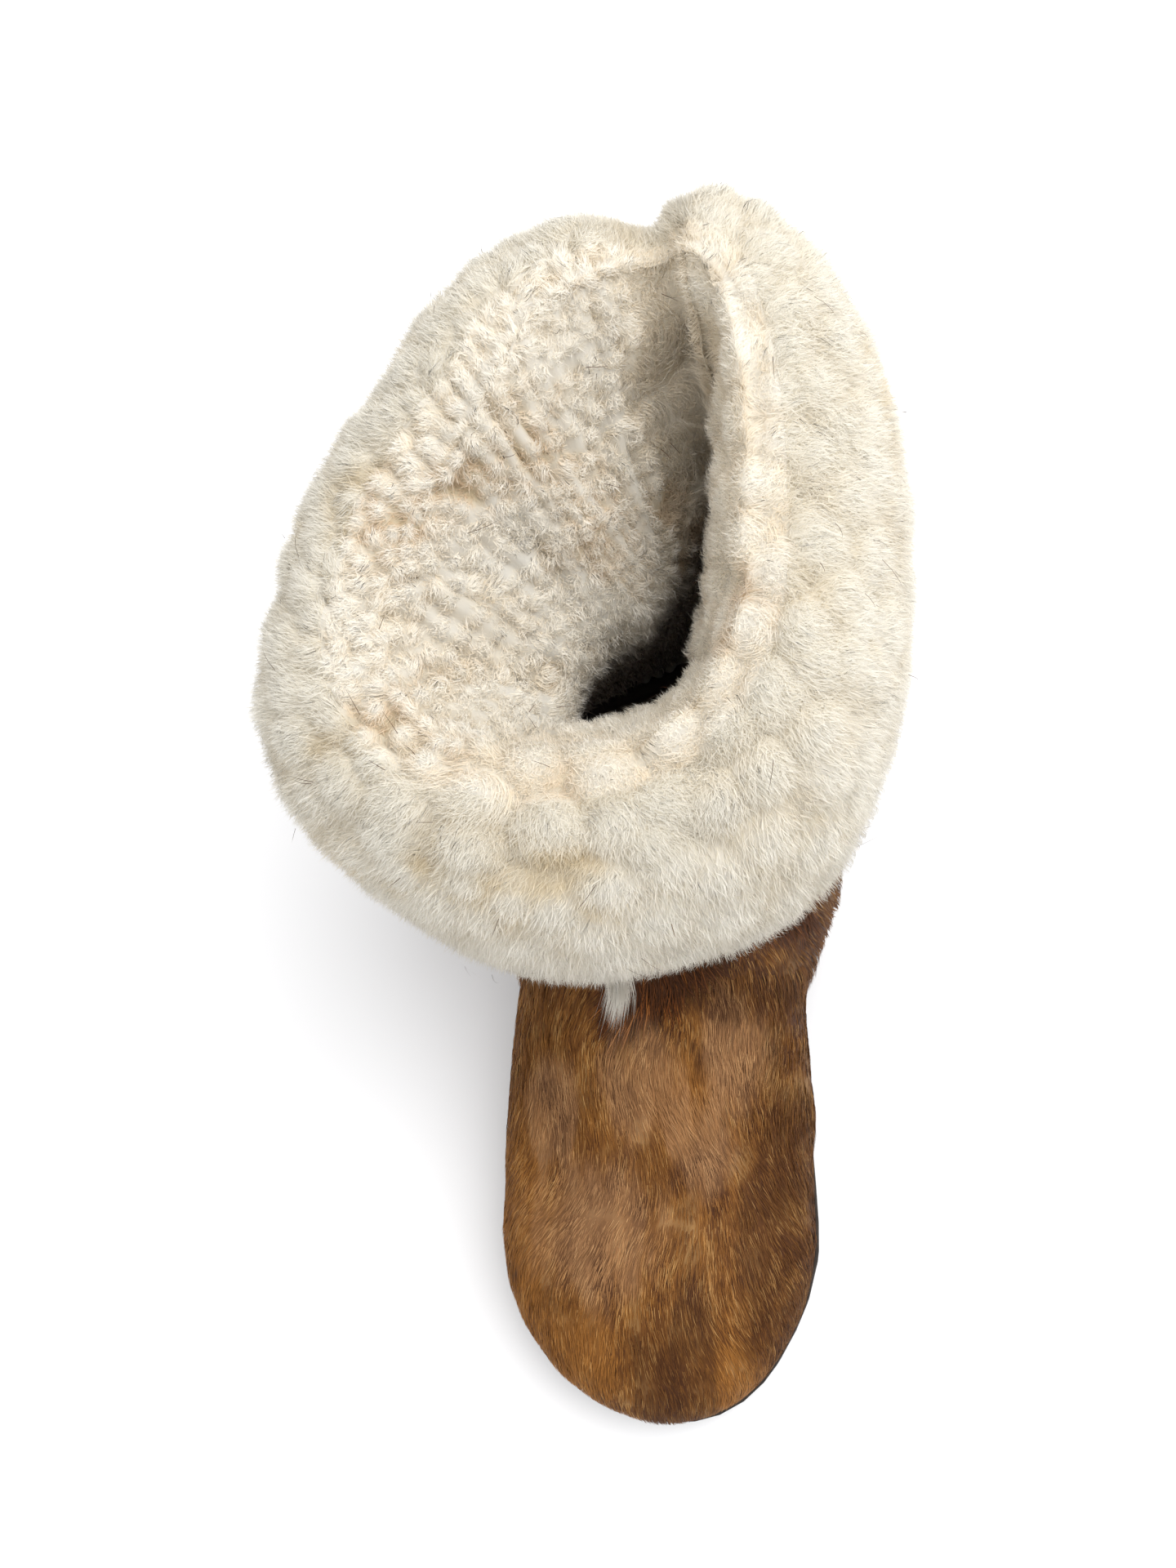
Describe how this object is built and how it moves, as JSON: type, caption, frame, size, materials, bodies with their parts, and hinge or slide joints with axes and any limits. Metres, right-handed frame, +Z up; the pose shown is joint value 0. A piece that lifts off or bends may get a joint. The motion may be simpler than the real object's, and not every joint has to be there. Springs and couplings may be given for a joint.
{
  "type": "mukluk boot",
  "caption": "Short mukluk boot for the right foot: hair-on hide upper on a low rubber sole, felt insole, and a deep turned-down shearling cuff split at the back.",
  "frame": {"origin": "middle of the boot's box at the bottom, on the ground under the sole", "axes": "+Z up; the toe points to -Y; +X is medial, towards the other foot"},
  "size_m": [0.182, 0.3174, 0.2786],
  "materials": {
    "rubber": "matt dark brown crepe rubber",
    "felt": "pressed wool felt, brown",
    "hide": "hair-on hide, short brown hair lying towards the toe",
    "fleece": "cream shearling, soft locks, tan in its valleys"
  },
  "bodies": {
    "root": {"outsole": "rubber", "insole": "felt", "upper": "hide", "cuff": "fleece"}
  },
  "joints": []
}
